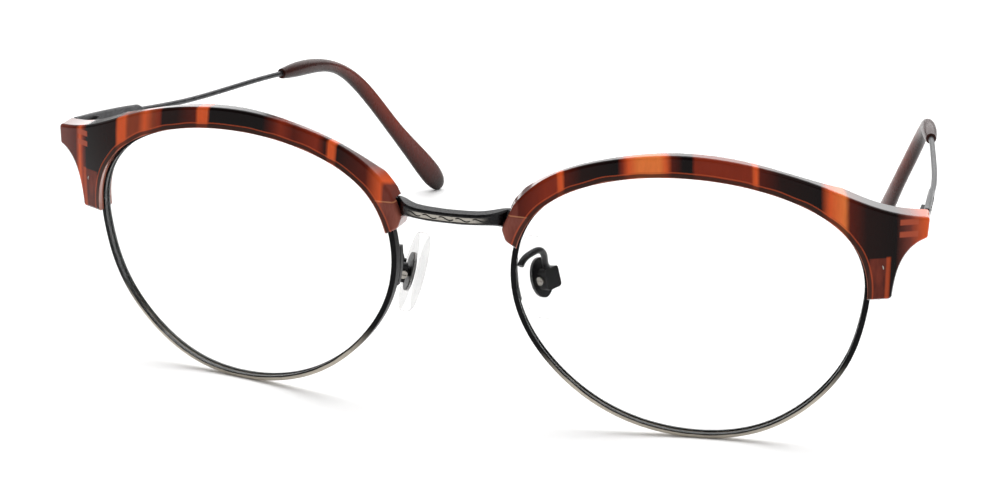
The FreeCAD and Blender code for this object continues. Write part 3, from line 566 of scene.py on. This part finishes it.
def engraving_material():
    """Dark, dull fill in the engraved lines."""
    graph = Graph("engraving")
    axes = graph.millimetres()
    grime = graph.noise(axes, 3.0, 3.0, 0.6)
    tone = graph.mix(grime, colour("#0b0b0c"), colour("#1e1d1d"))
    return graph.finish(Base_Color=tone, Metallic=0.3, Roughness=graph.fade(grime, 0.3, 0.7, 0.5, 0.7))


def engrave_bridge(material):
    """A row of lying S strokes between two border lines on the front of the bar."""
    surface = surface_of("bridge")
    strokes = []
    for index in range(BRIDGE_WAVES):
        start = Vector(((index - BRIDGE_WAVES / 2) * WAVE_LENGTH, 0, BRIDGE_MIDDLE_Z))
        points = wave_points(start, Vector((1, 0, 0)), WAVE_LENGTH, WAVE_HEIGHT)
        strokes.append(laid_on(surface, points, (0, 1, 0)))
    for level in (-BRIDGE_BORDER, BRIDGE_BORDER):
        points = [(BRIDGE_ENGRAVED_REACH * (2 * step / BORDER_STEPS - 1), 0, BRIDGE_MIDDLE_Z + level)
                  for step in range(BORDER_STEPS + 1)]
        strokes.append(laid_on(surface, points, (0, 1, 0)))
    line_piece("bridge_engraving", strokes, material, "front")


def engrave_temple(side, material):
    """A row of lying S strokes on the outside of the temple's flat stretch."""
    surface = surface_of("temple_arm_" + side)
    sign = side_sign(side)
    strokes = []
    for index in range(TEMPLE_WAVES):
        back = TEMPLE_WAVES_START + index * WAVE_LENGTH
        start = Vector((sign * TEMPLE_OUTSIDE_X, back, TEMPLE_LINE_AT_ZERO + TEMPLE_DROP * back))
        points = wave_points(start, Vector((0, 1, TEMPLE_DROP)), WAVE_LENGTH, WAVE_HEIGHT)
        strokes.append(laid_on(surface, points, (-sign, 0, 0)))
    line_piece("temple_engraving_" + side, strokes, material, "temple_" + side)


def dress(names, material):
    """Gives the named CAD nodes the material."""
    for name in names:
        mesh = nodes[name].data
        mesh.materials.clear()
        mesh.materials.append(material)


def dress_everything():
    gunmetal = gunmetal_material("gunmetal", GUNMETAL, GUNMETAL_LIGHT, (0.28, 0.45))
    arm_metal = gunmetal_material("arm_metal", colour("#2e2e30"), colour("#48484a"), (0.25, 0.4))
    steel = steel_material()
    lens = lens_material()
    silicone = pad_material()
    dress(["bridge"], bridge_material())
    for side in SIDES:
        def sided(*names):
            return [name + "_" + side for name in names]
        dress(sided("brow"), acetate_material(side))
        dress(sided("eyewire"), eyewire_material(side))
        dress(sided("lens"), lens)
        dress(sided("nose_pad"), silicone)
        dress(sided("temple_tip"), tip_material(side))
        dress(sided("temple_arm"), arm_metal)
        dress(sided("rim_lock_upper", "rim_lock_lower", "brow_bracket", "hinge_front",
                    "hinge_temple", "pad_arm", "pad_box", "pad_core"), gunmetal)
        dress(sided("rim_lock_screw", "brow_screws", "hinge_screw", "pad_screw"), steel)


# ---- Table, light and camera -------------------------------------------------------------------
TABLE_REACH = 3.0
SKY_STRENGTH = 0.25


def make_table():
    mesh = bpy.data.meshes.new("table_top")
    corners = [(-TABLE_REACH, -TABLE_REACH, 0), (TABLE_REACH, -TABLE_REACH, 0),
               (TABLE_REACH, TABLE_REACH, 0), (-TABLE_REACH, TABLE_REACH, 0)]
    mesh.from_pydata(corners, [], [(0, 1, 2, 3)])
    table = bpy.data.objects.new("table_top", mesh)
    bpy.context.scene.collection.objects.link(table)
    graph = Graph("white_table")
    paper = graph.noise(graph.place(), 300.0, 3.0, 0.6)
    tone = graph.mix(paper, colour("#fbfbfb"), colour("#ffffff"))
    mesh.materials.append(graph.finish(Base_Color=tone, Roughness=1.0, Specular_IOR_Level=0.0))


def make_light(name, place, aim, size, power):
    """A rectangular softbox of the size, in metres, and power, in watts, turned to its aim."""
    light = bpy.data.lights.new(name, "AREA")
    light.shape = "RECTANGLE"
    light.size, light.size_y = size
    light.energy = power
    lamp = bpy.data.objects.new(name, light)
    lamp.location = place
    lamp.rotation_euler = (Vector(aim) - Vector(place)).to_track_quat("-Z", "Y").to_euler()
    bpy.context.scene.collection.objects.link(lamp)


def make_lights():
    bpy.context.scene.view_settings.view_transform = "Standard"
    make_light("top_softbox", (0.0, 0.25, 0.9), (0, 0, 0), (1.6, 1.0), 14)
    make_light("back_softbox", (-0.2, 1.1, 0.5), (0, 0, 0.02), (1.4, 0.7), 5)
    make_light("front_fill", (0.7, -1.0, 0.7), (0, 0, 0.02), (0.8, 0.6), 1.5)
    world = bpy.data.worlds.new("studio")
    world.use_nodes = True
    sky = world.node_tree.nodes["Background"]
    sky.inputs["Color"].default_value = (1, 1, 1, 1)
    sky.inputs["Strength"].default_value = SKY_STRENGTH
    bpy.context.scene.world = world


CAMERA_PLACE = Vector((111.3, -345.4, 173.6))    # in the front's own axes, millimetres
CAMERA_LENS = 98.04
CAMERA_TURN = Vector((1.9939, 0.2842, -0.1976))  # turn from the front's axes to the camera's


def make_camera():
    camera = bpy.data.cameras.new("camera")
    camera.lens = CAMERA_LENS
    camera.clip_start = 0.01
    watcher = bpy.data.objects.new("camera", camera)
    bpy.context.scene.collection.objects.link(watcher)
    to_camera = Matrix.Rotation(CAMERA_TURN.length, 3, CAMERA_TURN.normalized())
    blender_axes = Matrix.Diagonal(Vector((1, -1, -1)))
    lean = Matrix.Rotation(FORWARD_LEAN, 3, "X")
    turned = (lean @ to_camera.transposed() @ blender_axes).to_4x4()
    watcher.matrix_world = Matrix.Translation(front_matrix() @ CAMERA_PLACE) @ turned
    bpy.context.scene.camera = watcher


dress_everything()
engraving = engraving_material()
engrave_bridge(engraving)
for wearer_side in SIDES:
    engrave_temple(wearer_side, engraving)
make_table()
make_lights()
make_camera()
